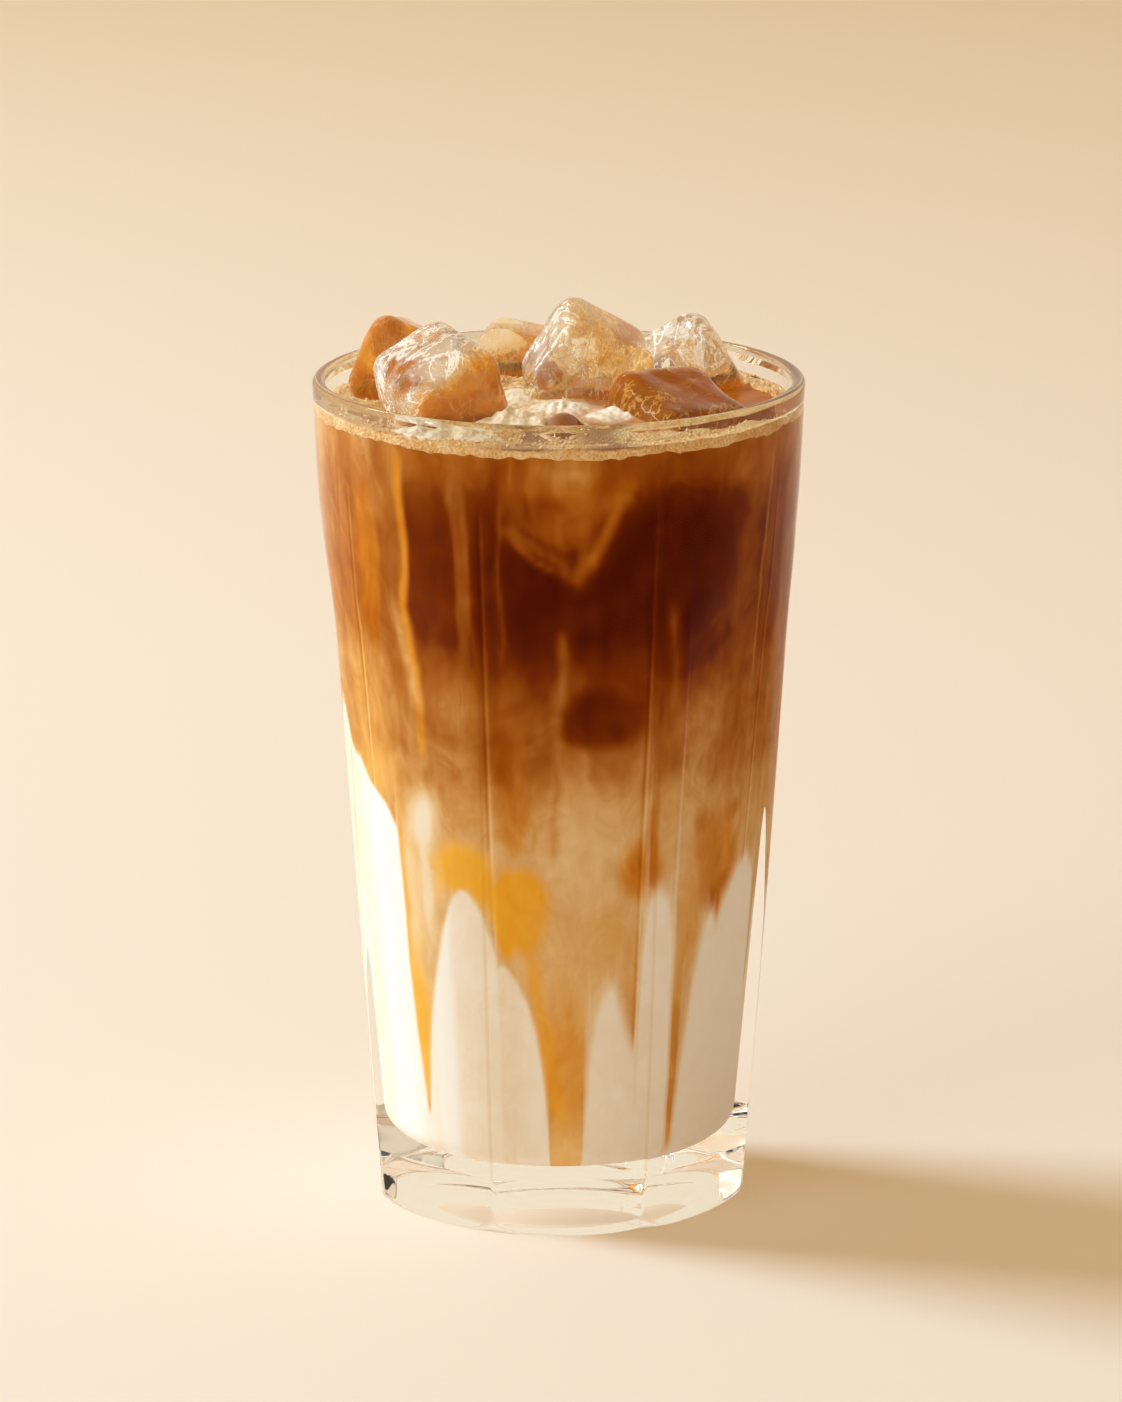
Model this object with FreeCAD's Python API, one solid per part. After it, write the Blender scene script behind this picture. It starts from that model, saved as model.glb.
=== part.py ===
import FreeCAD, Part
import math
import os
from FreeCAD import Vector

# An iced latte in a tall eight-panelled tumbler. Millimetres, +Z up, origin at the centre of the base,
# -Y towards the front.

# Tumbler, outside
HEIGHT = 151.0
RIM_RADIUS = 44.0
MID_HEIGHT = 75.0
MID_RADIUS = 40.3
BASE_RADIUS = 35.6
HEEL_RADIUS = 5.5
LIP_RADIUS = 1.2

# Flat panels round the outside: they start at the round heel and run out below the collar in a soft arch
PANEL_COUNT = 8
PANEL_TURN = 3.0
PANEL_BASE = 32.45
PANEL_MID = 38.0
PANEL_TOP = 41.15
PANEL_TOP_HEIGHT = 120.0
PANEL_FLARE_RADIUS = 66.0
PANEL_CUT_WIDTH = 60.0

# Tumbler, inside and underneath
FLOOR_HEIGHT = 12.0
FLOOR_RADIUS = 29.5
FLOOR_CORNER = 4.0
PUNT_RADIUS = 20.0
PUNT_DEPTH = 1.5

# Levels in the drink
COFFEE_LEVEL = 145.7
FOAM_TOP = 146.6
FOAM_BOTTOM = 144.9
MILK_HEIGHT = 58.0
BLEND_HEIGHT = 100.0

# Foam: it leaves bare coffee on the right, inside a wavy ring
BARE_CENTRE = (13.0, 3.0)
BARE_RADIUS = 25.0
BARE_WAVE = 1.2
BARE_WAVES = 7

# Ice: name, centre, width and depth and height, then yaw and pitch and roll in degrees
ICE_ROUNDING = 4.0
ICE_TAPER = 0.94
ICE_BLOCKS = (
    ("ice_left_back", (-28.0, 9.2, 150.2), (16.6, 18.6, 17.6), (-11, 23, -12)),
    ("ice_left", (-20.7, -14.1, 150.3), (18.6, 20.2, 20.3), (33, -24, 19)),
    ("ice_back", (-7.1, 28.4, 145.0), (17.0, 15.6, 20.0), (-9, 7, 5)),
    ("ice_centre", (5.0, 6.6, 151.3), (20.2, 16.0, 19.8), (16, 28, 20)),
    ("ice_right_back", (24.2, 16.7, 147.9), (15.4, 17.6, 18.0), (5, -29, 17)),
    ("ice_right_front", (20.2, -8.0, 142.0), (21.6, 21.0, 19.8), (38, 3, 22)),
    ("ice_front", (0.7, -24.4, 135.8), (19.5, 20.0, 20.5), (12, 41, 24)),
)

AXIS = Vector(0, 0, 1)
CENTRE = Vector(0, 0, 0)


def profile_point(radius, height):
    return Vector(radius, 0, height)


def arc_through(start, middle, end):
    return Part.Arc(start, middle, end).toShape()


def line_between(start, end):
    return Part.LineSegment(start, end).toShape()


def curve_radius(base, middle, top, height):
    """Radius on the gentle curve through three radii at the base, the middle height and the top height."""
    top_radius, top_height = top
    slope_to_middle = (middle - base) / MID_HEIGHT
    slope_to_top = (top_radius - base) / top_height
    bend = (slope_to_top - slope_to_middle) / (top_height - MID_HEIGHT)
    return base + height * (slope_to_middle + bend * (height - MID_HEIGHT))


def outer_radius(height):
    return curve_radius(BASE_RADIUS, MID_RADIUS, (RIM_RADIUS, HEIGHT - LIP_RADIUS), height)


def panel_distance(height):
    return curve_radius(PANEL_BASE, PANEL_MID, (PANEL_TOP, PANEL_TOP_HEIGHT), height)


def inner_radius(height):
    """Radius of the straight inner wall at a height."""
    rim = RIM_RADIUS - 2 * LIP_RADIUS
    share = (height - FLOOR_HEIGHT) / (HEIGHT - LIP_RADIUS - FLOOR_HEIGHT)
    return FLOOR_RADIUS + share * (rim - FLOOR_RADIUS)


def floor_corner_edges():
    """Inner wall's foot: the corner arc's two ends and its middle point, worked out for the leaning wall."""
    lean = math.atan2(inner_radius(HEIGHT) - inner_radius(0), HEIGHT)
    centre_height = FLOOR_HEIGHT + FLOOR_CORNER
    centre_radius = inner_radius(centre_height) - FLOOR_CORNER / math.cos(lean)
    points = []
    for angle in (-math.pi / 2, (-math.pi / 2 - lean) / 2, -lean):
        radius = centre_radius + FLOOR_CORNER * math.cos(angle)
        height = centre_height + FLOOR_CORNER * math.sin(angle)
        points.append(profile_point(radius, height))
    return points


def revolve(edges):
    face = Part.Face(Part.Wire(edges))
    return face.revolve(CENTRE, AXIS, 360)


def tumbler_blank():
    """The round tumbler before its panels are cut, turned from one closed profile."""
    lip_height = HEIGHT - LIP_RADIUS
    heel_height = HEEL_RADIUS
    heel_radius = outer_radius(heel_height)
    heel_bottom = profile_point(heel_radius - HEEL_RADIUS, 0)
    heel_top = profile_point(heel_radius, heel_height)
    heel_step = HEEL_RADIUS * math.sqrt(0.5)
    heel_middle = profile_point(heel_radius - HEEL_RADIUS + heel_step, heel_height - heel_step)
    side_middle = profile_point(outer_radius(MID_HEIGHT), MID_HEIGHT)
    lip_outside = profile_point(RIM_RADIUS, lip_height)
    lip_crest = profile_point(RIM_RADIUS - LIP_RADIUS, HEIGHT)
    lip_inside = profile_point(RIM_RADIUS - 2 * LIP_RADIUS, lip_height)
    corner_floor, corner_middle, corner_wall = floor_corner_edges()
    floor_centre = profile_point(0, FLOOR_HEIGHT)
    return revolve([
        line_between(CENTRE, heel_bottom),
        arc_through(heel_bottom, heel_middle, heel_top),
        arc_through(heel_top, side_middle, lip_outside),
        arc_through(lip_outside, lip_crest, lip_inside),
        line_between(lip_inside, corner_wall),
        arc_through(corner_wall, corner_middle, corner_floor),
        line_between(corner_floor, floor_centre),
        line_between(floor_centre, CENTRE),
    ])


def panel_cutter():
    """What one flat panel takes off: a nearly straight face, then a flare out of the wall."""
    below = -HEEL_RADIUS
    outside = RIM_RADIUS + 3 * HEEL_RADIUS
    face_bottom = profile_point(panel_distance(below), below)
    face_middle = profile_point(panel_distance(MID_HEIGHT), MID_HEIGHT)
    face_top = profile_point(PANEL_TOP, PANEL_TOP_HEIGHT)

    lean = math.atan(panel_distance(PANEL_TOP_HEIGHT) - panel_distance(PANEL_TOP_HEIGHT - 1))
    flare_centre_radius = PANEL_TOP + PANEL_FLARE_RADIUS * math.cos(lean)
    flare_centre_height = PANEL_TOP_HEIGHT - PANEL_FLARE_RADIUS * math.sin(lean)
    flare = []
    for degrees in (15, 30):
        angle = math.pi - lean - math.radians(degrees)
        radius = flare_centre_radius + PANEL_FLARE_RADIUS * math.cos(angle)
        height = flare_centre_height + PANEL_FLARE_RADIUS * math.sin(angle)
        flare.append(profile_point(radius, height))

    outline = Part.Wire([
        arc_through(face_bottom, face_middle, face_top),
        arc_through(face_top, flare[0], flare[1]),
        line_between(flare[1], profile_point(outside, flare[1].z)),
        line_between(profile_point(outside, flare[1].z), profile_point(outside, below)),
        line_between(profile_point(outside, below), face_bottom),
    ])
    cutter = Part.Face(outline).extrude(Vector(0, PANEL_CUT_WIDTH, 0))
    cutter.translate(Vector(0, -PANEL_CUT_WIDTH / 2, 0))
    return cutter


def punt():
    """The shallow dome under the base, which leaves a flat ring to stand on."""
    radius = (PUNT_RADIUS ** 2 + PUNT_DEPTH ** 2) / (2 * PUNT_DEPTH)
    return Part.makeSphere(radius, Vector(0, 0, PUNT_DEPTH - radius))


def make_glass():
    glass = tumbler_blank()
    cutter = panel_cutter()
    for index in range(PANEL_COUNT):
        panel = cutter.copy()
        panel.rotate(CENTRE, AXIS, -90 + PANEL_TURN + index * 360 / PANEL_COUNT)
        glass = glass.cut(panel)
    return glass.cut(punt())


def cavity_fill(top):
    """The solid that fills the tumbler's inside from its floor up to a level."""
    corner_floor, corner_middle, corner_wall = floor_corner_edges()
    surface_edge = profile_point(inner_radius(top), top)
    surface_centre = profile_point(0, top)
    floor_centre = profile_point(0, FLOOR_HEIGHT)
    return revolve([
        line_between(floor_centre, corner_floor),
        arc_through(corner_floor, corner_middle, corner_wall),
        line_between(corner_wall, surface_edge),
        line_between(surface_edge, surface_centre),
        line_between(surface_centre, floor_centre),
    ])


def milk_top(x, y):
    """The milk lies higher on the left, where a tongue of it climbs the wall."""
    tongue = 22 * math.exp(-((x + 42) ** 2 + (y + 10) ** 2) / 160)
    return MILK_HEIGHT - 0.12 * x + 2.5 * math.sin(x / 9) * math.cos(y / 11) + tongue


def blend_top(x, y):
    return BLEND_HEIGHT - 0.15 * x + 3 * math.sin(x / 10 + 1) * math.cos(y / 8)


def ground_below(height_at):
    """A block under a wavy surface, wider than the tumbler."""
    reach = 48
    steps = 12
    places = [reach * (2 * step / steps - 1) for step in range(steps + 1)]
    surface = Part.BSplineSurface()
    surface.interpolate([[Vector(x, y, height_at(x, y)) for y in places] for x in places])
    return surface.toShape().extrude(Vector(0, 0, -HEIGHT))


def ice_block(centre, size, turns):
    """One half-melted cube: a slightly tapered block with all its edges rounded."""
    half_x, half_y, half_z = (length / 2 for length in size)
    narrow_x = half_x * ICE_TAPER
    narrow_z = half_z * ICE_TAPER
    block = Part.makeWedge(-half_x, -half_y, -half_z, -narrow_z, -narrow_x, half_x, half_y, half_z, narrow_z, narrow_x)
    block = block.makeFillet(ICE_ROUNDING, block.Edges)
    block.Placement = FreeCAD.Placement(Vector(*centre), FreeCAD.Rotation(*turns))
    return block


def foam_blank():
    """Foam over the whole surface but for a bare patch with a wavy edge."""
    layer = cavity_fill(FOAM_TOP).cut(Part.makeCylinder(RIM_RADIUS, FOAM_BOTTOM))
    points = []
    steps = 4 * BARE_WAVES
    for step in range(steps):
        angle = 2 * math.pi * step / steps
        radius = BARE_RADIUS + BARE_WAVE * math.sin(BARE_WAVES * angle)
        x = BARE_CENTRE[0] + radius * math.cos(angle)
        y = BARE_CENTRE[1] + radius * math.sin(angle)
        points.append(Vector(x, y, FOAM_BOTTOM - 1))
    edge = Part.BSplineCurve()
    edge.interpolate(points, PeriodicFlag=True)
    bare = Part.Face(Part.Wire(edge.toShape())).extrude(Vector(0, 0, HEIGHT - FOAM_BOTTOM))
    return layer.cut(bare)


def save(name, shape):
    shape = shape.removeSplitter()
    if len(shape.Solids) != 1:
        print("WARNING", name, "has", len(shape.Solids), "solids")
    shape = shape.Solids[0]
    box = shape.BoundBox
    print("%-18s valid %s volume %8.0f  x %6.1f..%5.1f  y %6.1f..%5.1f  z %5.1f..%5.1f" % (
        name, shape.isValid(), shape.Volume, box.XMin, box.XMax, box.YMin, box.YMax, box.ZMin, box.ZMax))
    shape.exportStep(os.path.join("parts", name + ".step"))


def main():
    os.makedirs("parts", exist_ok=True)
    save("glass", make_glass())

    ice = [(name, ice_block(centre, size, turns)) for name, centre, size, turns in ICE_BLOCKS]
    for name, block in ice:
        save(name, block)
    ice_shapes = [block for name, block in ice]

    foam = foam_blank()
    drink = cavity_fill(COFFEE_LEVEL).cut(foam).cut(ice_shapes)
    save("foam", foam.cut(ice_shapes))

    below_milk_top = ground_below(milk_top)
    below_blend_top = ground_below(blend_top)
    save("milk", drink.common(below_milk_top))
    save("milk_coffee_blend", drink.common(below_blend_top).cut(below_milk_top))
    save("coffee", drink.cut(below_blend_top))


main()
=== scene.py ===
# Looks of an iced latte: clear tumbler, swirled drink, foam and half-melted ice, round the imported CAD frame.
import math

import bmesh
import bpy
import numpy as np
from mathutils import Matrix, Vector
from mathutils.bvhtree import BVHTree


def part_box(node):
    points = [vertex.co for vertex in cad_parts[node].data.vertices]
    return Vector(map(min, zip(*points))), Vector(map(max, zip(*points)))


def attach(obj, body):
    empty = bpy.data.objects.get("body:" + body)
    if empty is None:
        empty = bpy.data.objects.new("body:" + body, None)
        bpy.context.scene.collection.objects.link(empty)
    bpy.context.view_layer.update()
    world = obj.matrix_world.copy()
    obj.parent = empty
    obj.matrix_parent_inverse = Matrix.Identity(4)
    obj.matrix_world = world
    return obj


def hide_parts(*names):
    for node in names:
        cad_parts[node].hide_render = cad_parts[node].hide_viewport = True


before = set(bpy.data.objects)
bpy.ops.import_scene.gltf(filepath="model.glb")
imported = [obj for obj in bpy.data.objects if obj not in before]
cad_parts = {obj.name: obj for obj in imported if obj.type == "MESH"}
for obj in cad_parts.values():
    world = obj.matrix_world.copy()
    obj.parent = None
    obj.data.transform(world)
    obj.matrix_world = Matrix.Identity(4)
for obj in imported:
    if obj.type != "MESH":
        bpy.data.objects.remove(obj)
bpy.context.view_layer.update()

# Lengths are worked out in millimetres and written to meshes in metres.
MM = 0.001

# Overall sizes come from the frame.
GLASS_LOW, GLASS_HIGH = (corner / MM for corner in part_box("glass"))
HEIGHT = GLASS_HIGH.z
RIM_RADIUS = (GLASS_HIGH.y - GLASS_LOW.y) / 2
FLOOR_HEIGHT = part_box("milk")[0].z / MM
COFFEE_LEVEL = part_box("foam")[0].z / MM + 0.8
FOAM_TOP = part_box("foam")[1].z / MM
ICE_NODES = sorted(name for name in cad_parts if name.startswith("ice_"))

# The tumbler's outline, as in the CAD model, but with panels that run out more gently at the top.
MID_HEIGHT = 75.0
MID_RADIUS = 40.3
BASE_RADIUS = 35.6
HEEL_RADIUS = 5.5
LIP_RADIUS = 1.2
PANEL_COUNT = 8
PANEL_TURN = 3.0
PANEL_BASE = 32.45
PANEL_MID = 38.0
PANEL_TOP = 41.15
PANEL_TOP_HEIGHT = 120.0
FLARE_START = 104.0
PANEL_FLARE_RADIUS = 150.0
PANEL_EDGE_SHARPNESS = 9.0
PANEL_TOP_SHARPNESS = 1.6
FLOOR_RADIUS = 29.5
FLOOR_CORNER = 4.0
PUNT_RADIUS = 20.0
PUNT_DEPTH = 1.5

# How far the drink and the foam reach into the glass, and the drink into the ice, so that no air gap shows.
WALL_REACH = 0.12
FOAM_REACH = 0.17
ICE_REACH = 0.1

# Bare coffee in the foam ring
BARE_CENTRE = (13.0, 3.0)
BARE_RADIUS = 25.0

SEED = 7
GLASS_IOR = 1.5
# Where the drink lies behind the wall, light bends less, so that the wall shows as a clear strip beside it.
WALL_IOR = 1.12
WALL_FOOT = 10.0
ICE_IOR = 1.15
# Faint glows stand in for the light that milk scatters round its side and the thick base gathers on the table.
MILK_GLOW = (0.55, 0.75, 1.0, 1)
MILK_GLOW_STRENGTH = 0.08
TABLE_GLOW = (0.85, 0.85, 0.62, 1)
TABLE_GLOW_STRENGTH = 0.16

# How many points each round has, and how many bubbles are tried
TUMBLER_COLUMNS = 720
DRINK_COLUMNS = 440
FOAM_COLUMNS = 900
BUBBLES_AT_WALL = 640
BUBBLES_ON_TOP = 2600


# ---------------------------------------------------------------- small maths

def smooth_step(low, high, value):
    share = np.clip((value - low) / (high - low), 0, 1)
    return share * share * (3 - 2 * share)


def hill(distance, width):
    return np.exp(-(distance / width) ** 2)


def turn_between(angle, centre):
    """Signed difference of two angles in degrees, from -180 to 180."""
    return (angle - centre + 180) % 360 - 180


def waves(points, size, seed, octaves=3):
    """Smooth noise of about -1 to 1: sine waves in random directions, with finer ones added."""
    random = np.random.default_rng(seed)
    total = np.zeros(len(points))
    for octave in range(octaves):
        for _ in range(7):
            direction = random.normal(size=3)
            direction *= 2 ** octave * 2 * math.pi / size / np.linalg.norm(direction)
            total += np.sin(points @ direction + random.uniform(0, 2 * math.pi)) / 2 ** octave
    return total / 4.5


def even_angles(count):
    return np.arange(count) * 360 / count


def angles_of(points):
    """Angle of each point in degrees, from the front towards +X."""
    return np.degrees(np.arctan2(points[:, 0], -points[:, 1]))


def polar_points(angle, radius, height):
    """Angles in degrees run from the front towards +X."""
    turn = np.radians(angle)
    return np.stack([radius * np.sin(turn), -radius * np.cos(turn), height + 0 * turn], axis=-1)


# ---------------------------------------------------------------- the tumbler's outline

def curve_radius(base, middle, top, top_height, height):
    slope_to_middle = (middle - base) / MID_HEIGHT
    slope_to_top = (top - base) / top_height
    bend = (slope_to_top - slope_to_middle) / (top_height - MID_HEIGHT)
    return base + height * (slope_to_middle + bend * (height - MID_HEIGHT))


def round_radius(height):
    return curve_radius(BASE_RADIUS, MID_RADIUS, RIM_RADIUS, HEIGHT - LIP_RADIUS, height)


def panel_distance(height):
    """Distance of a flat panel from the axis, with its flare out of the wall at the top."""
    below = np.minimum(height, FLARE_START)
    above = np.maximum(height - FLARE_START, 0)
    slope = (PANEL_TOP - PANEL_MID) / (PANEL_TOP_HEIGHT - MID_HEIGHT)
    flat = curve_radius(PANEL_BASE, PANEL_MID, PANEL_TOP, PANEL_TOP_HEIGHT, below)
    return flat + above * slope + above ** 2 / (2 * PANEL_FLARE_RADIUS)


def outer_radius(angle, height, blank):
    """Radius of the outside: the round blank, cut by the panels, with edges that get softer towards the top."""
    sharpness = np.interp(height, (100, 125), (PANEL_EDGE_SHARPNESS, PANEL_TOP_SHARPNESS))
    total = np.exp(-sharpness * (blank - BASE_RADIUS)) * np.ones_like(angle)
    for index in range(PANEL_COUNT):
        away = np.radians(turn_between(angle, PANEL_TURN + index * 360 / PANEL_COUNT))
        facing = np.cos(away)
        distance = panel_distance(height) / np.maximum(facing, 0.3)
        total += np.exp(-sharpness * (distance - BASE_RADIUS))
    return BASE_RADIUS - np.log(total) / sharpness


def inner_radius(height):
    share = (height - FLOOR_HEIGHT) / (HEIGHT - LIP_RADIUS - FLOOR_HEIGHT)
    return FLOOR_RADIUS + share * (RIM_RADIUS - 2 * LIP_RADIUS - FLOOR_RADIUS)


def floor_corner(steps):
    """Radius and height along the round corner between the inner wall and the floor, from the wall down."""
    lean = math.atan2(inner_radius(HEIGHT) - inner_radius(0), HEIGHT)
    centre_height = FLOOR_HEIGHT + FLOOR_CORNER
    centre_radius = inner_radius(centre_height) - FLOOR_CORNER / math.cos(lean)
    angles = np.linspace(-lean, -math.pi / 2, steps)
    return centre_radius + FLOOR_CORNER * np.cos(angles), centre_height + FLOOR_CORNER * np.sin(angles)


# ---------------------------------------------------------------- making meshes

def show(item):
    bpy.context.scene.collection.objects.link(item)


def new_object(name, points, faces):
    """A mesh object from points in millimetres."""
    mesh = bpy.data.meshes.new(name)
    mesh.from_pydata((np.asarray(points) * MM).tolist(), [], faces)
    mesh.update()
    mesh.shade_smooth()
    piece = bpy.data.objects.new(name, mesh)
    show(piece)
    return piece


def ring_faces(rows, columns, first=0):
    """Quads between rows of a closed ring grid; each row holds its columns in order round the axis."""
    faces = []
    for row in range(rows - 1):
        low = first + row * columns
        high = low + columns
        for column in range(columns):
            after = (column + 1) % columns
            faces.append((low + column, low + after, high + after, high + column))
    return faces


def fan_faces(row_start, columns, pole, flip):
    faces = []
    for column in range(columns):
        after = (column + 1) % columns
        face = (row_start + column, row_start + after, pole)
        faces.append(face[::-1] if flip else face)
    return faces


def closed_turning(name, rows, bottom_pole, top_pole):
    """A closed solid from rows that run from under the base's centre, up the outside, to the top's centre."""
    columns = len(rows[0])
    points = np.concatenate(rows + [np.array([bottom_pole, top_pole])])
    poles = len(rows) * columns
    faces = ring_faces(len(rows), columns)
    faces += fan_faces(0, columns, poles, flip=True)
    faces += fan_faces((len(rows) - 1) * columns, columns, poles + 1, flip=False)
    return new_object(name, points, faces)


def vertex_points(piece):
    """The piece's vertices in millimetres."""
    values = np.empty(len(piece.data.vertices) * 3)
    piece.data.vertices.foreach_get("co", values)
    return values.reshape(-1, 3) / MM


def vertex_normals(piece):
    return np.array([vertex.normal[:] for vertex in piece.data.vertices])


def set_vertex_points(piece, points):
    piece.data.vertices.foreach_set("co", (points * MM).ravel())
    piece.data.update()


def set_field(piece, name, values):
    field = piece.data.attributes.new(name, "FLOAT", "POINT")
    field.data.foreach_set("value", np.asarray(values, float))


def set_materials(piece, *materials):
    piece.data.materials.clear()
    for material in materials:
        piece.data.materials.append(material)


def apply_modifier(piece, kind, **settings):
    modifier = piece.modifiers.new(kind.lower(), kind)
    for name, value in settings.items():
        setattr(modifier, name, value)
    bpy.context.view_layer.objects.active = piece
    with bpy.context.temp_override(object=piece, active_object=piece):
        bpy.ops.object.modifier_apply(modifier=modifier.name)


def cut_away(piece, cutters):
    for cutter in cutters:
        apply_modifier(piece, "BOOLEAN", operation="DIFFERENCE", solver="MANIFOLD", object=cutter)
    piece.data.shade_smooth()


# ---------------------------------------------------------------- node helpers

def new_material(name):
    material = bpy.data.materials.new(name)
    material.use_nodes = True
    tree = material.node_tree
    shader = tree.nodes["Principled BSDF"]
    return material, tree, shader


def add_node(tree, kind, links=(), **values):
    """A node with its inputs set by name, and its links given as (from socket, to input name or number)."""
    node = tree.nodes.new(kind)
    for name, value in values.items():
        if name in node.inputs:
            node.inputs[name].default_value = value
        else:
            setattr(node, name, value)
    for source, target in links:
        tree.links.new(source, node.inputs[target])
    return node


def colour(code):
    """Linear colour with alpha from an sRGB hex code."""
    parts = [int(code[start:start + 2], 16) / 255 for start in (1, 3, 5)]
    linear = [part / 12.92 if part <= 0.04045 else ((part + 0.055) / 1.055) ** 2.4 for part in parts]
    return (*linear, 1.0)


def ramp(tree, source, stops):
    node = tree.nodes.new("ShaderNodeValToRGB")
    elements = node.color_ramp.elements
    while len(elements) < len(stops):
        elements.new(0.5)
    for element, (place, code) in zip(elements, stops):
        element.position = place
        element.color = colour(code)
    tree.links.new(source, node.inputs["Fac"])
    return node.outputs["Color"]


def maths(tree, operation, first, second, clamp=False):
    node = tree.nodes.new("ShaderNodeMath")
    node.operation = operation
    node.use_clamp = clamp
    for slot, value in enumerate((first, second)):
        if isinstance(value, (int, float)):
            node.inputs[slot].default_value = value
        else:
            tree.links.new(value, node.inputs[slot])
    return node.outputs[0]


def share_between(tree, value, none, all_of_it, smooth=False):
    """Rises from 0 to 1 as the value goes from one limit to the other."""
    node = add_node(tree, "ShaderNodeMapRange", [(value, "Value")],
                    interpolation_type="SMOOTHSTEP" if smooth else "LINEAR")
    node.inputs["From Min"].default_value = none
    node.inputs["From Max"].default_value = all_of_it
    return node.outputs[0]


def mix_colours(tree, factor, first, second):
    """A colour between two, each a socket or a linear colour."""
    node = add_node(tree, "ShaderNodeMix", [(factor, "Factor")], data_type="RGBA")
    # sockets 6 and 7 take the two colours
    for slot, value in ((6, first), (7, second)):
        if isinstance(value, tuple):
            node.inputs[slot].default_value = value
        else:
            tree.links.new(value, node.inputs[slot])
    return node.outputs[2]


def noise(tree, place, **values):
    return add_node(tree, "ShaderNodeTexNoise", [(place, "Vector")], **values).outputs["Fac"]


def cell_distance(tree, place, scale):
    cells = add_node(tree, "ShaderNodeTexVoronoi", [(place, "Vector")], Scale=scale, Randomness=1.0)
    return cells.outputs["Distance"]


def set_bump(tree, shader, height, strength, distance):
    bump = add_node(tree, "ShaderNodeBump", [(height, "Height")], Strength=strength, Distance=distance)
    tree.links.new(bump.outputs[0], shader.inputs["Normal"])


def field_output(tree, name):
    return add_node(tree, "ShaderNodeAttribute", attribute_name=name).outputs["Fac"]


def position_output(tree, scale=(1, 1, 1)):
    """Object coordinates in metres, stretched by a scale."""
    place = tree.nodes.new("ShaderNodeTexCoord").outputs["Object"]
    return add_node(tree, "ShaderNodeMapping", [(place, "Vector")], Scale=scale).outputs["Vector"]


def let_lamps_through(tree, shader, tint):
    """Shadow and diffuse rays pass straight through, so light reaches what is behind clear material."""
    output = tree.nodes["Material Output"]
    path = tree.nodes.new("ShaderNodeLightPath")
    straight = maths(tree, "MAXIMUM", path.outputs["Is Shadow Ray"], path.outputs["Is Diffuse Ray"])
    clear = add_node(tree, "ShaderNodeBsdfTransparent", Color=tint)
    mix = add_node(
        tree, "ShaderNodeMixShader", [(straight, 0), (shader.outputs[0], 1), (clear.outputs[0], 2)])
    tree.links.new(mix.outputs[0], output.inputs["Surface"])


# ---------------------------------------------------------------- materials

def glass_material(name, index, coat, tint="#FDFDFB", edge_on_shade=None):
    """Clear glass, darker where it is seen edge on if a second colour is given: a painted shade for the dark outline
    that glass edges show.
    """
    material, tree, shader = new_material(name)
    shader.inputs["Base Color"].default_value = colour(tint)
    if edge_on_shade:
        facing = add_node(tree, "ShaderNodeLayerWeight", Blend=0.5).outputs["Facing"]
        tree.links.new(ramp(tree, facing, [(0.55, tint), (0.95, edge_on_shade)]), shader.inputs["Base Color"])
    shader.inputs["Roughness"].default_value = 0.0
    shader.inputs["IOR"].default_value = index
    shader.inputs["Transmission Weight"].default_value = 1.0
    shader.inputs["Coat Weight"].default_value = coat
    shader.inputs["Coat IOR"].default_value = 1.18
    shader.inputs["Coat Roughness"].default_value = 0.0
    let_lamps_through(tree, shader, colour("#FCFBF9"))
    return material


COFFEE_STOPS = [
    (0.00, "#F8F3EB"), (0.06, "#F5E8D6"), (0.14, "#EBCFA4"), (0.30, "#D6A365"), (0.46, "#B87432"),
    (0.62, "#9A500C"), (0.78, "#7C2E00"), (0.90, "#621A00"), (1.00, "#500D00")]
AMBER_STOPS = [
    (0.00, "#FBD27A"), (0.12, "#F8B93A"), (0.26, "#EA9A10"), (0.42, "#D07C06"), (0.62, "#AA5400"),
    (0.80, "#7A2C00"), (1.00, "#460C00")]


def drink_colour(tree):
    """Milk, blend and coffee by strength, pulled towards amber where the drink glows, with fine cloudy swirls."""
    above_milk = share_between(tree, field_output(tree, "over_milk"), -0.35, 0.55, smooth=True)
    strength = add_node(tree, "ShaderNodeMix", data_type="FLOAT")
    tree.links.new(above_milk, strength.inputs["Factor"])
    # below the milk's edge: the milk's coffee tint, with white bands that are painted highlights
    tree.links.new(field_output(tree, "milk_tint_and_highlight"), strength.inputs[2])
    tree.links.new(field_output(tree, "strength"), strength.inputs[3])
    strength = strength.outputs[0]
    amber = maths(tree, "MULTIPLY", field_output(tree, "amber"), above_milk)
    cloud = noise(tree, position_output(tree, (1, 1, 0.7)), Scale=150.0, Detail=7.0, Roughness=0.62, Distortion=1.6)
    fine = noise(tree, position_output(tree, (1, 1, 0.25)), Scale=420.0, Detail=3.0, Roughness=0.5, Distortion=0.6)
    swirl = maths(tree, "ADD", maths(tree, "SUBTRACT", cloud, 0.5),
                  maths(tree, "MULTIPLY", maths(tree, "SUBTRACT", fine, 0.5), 0.5))
    # the middle tones are the cloudiest
    unevenness = maths(tree, "SUBTRACT", 1.2, strength)
    reach = maths(tree, "MULTIPLY", maths(tree, "MULTIPLY", strength, unevenness), swirl)
    mixed = maths(tree, "ADD", strength, reach, clamp=True)
    return mix_colours(tree, amber, ramp(tree, mixed, COFFEE_STOPS), ramp(tree, mixed, AMBER_STOPS))


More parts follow.
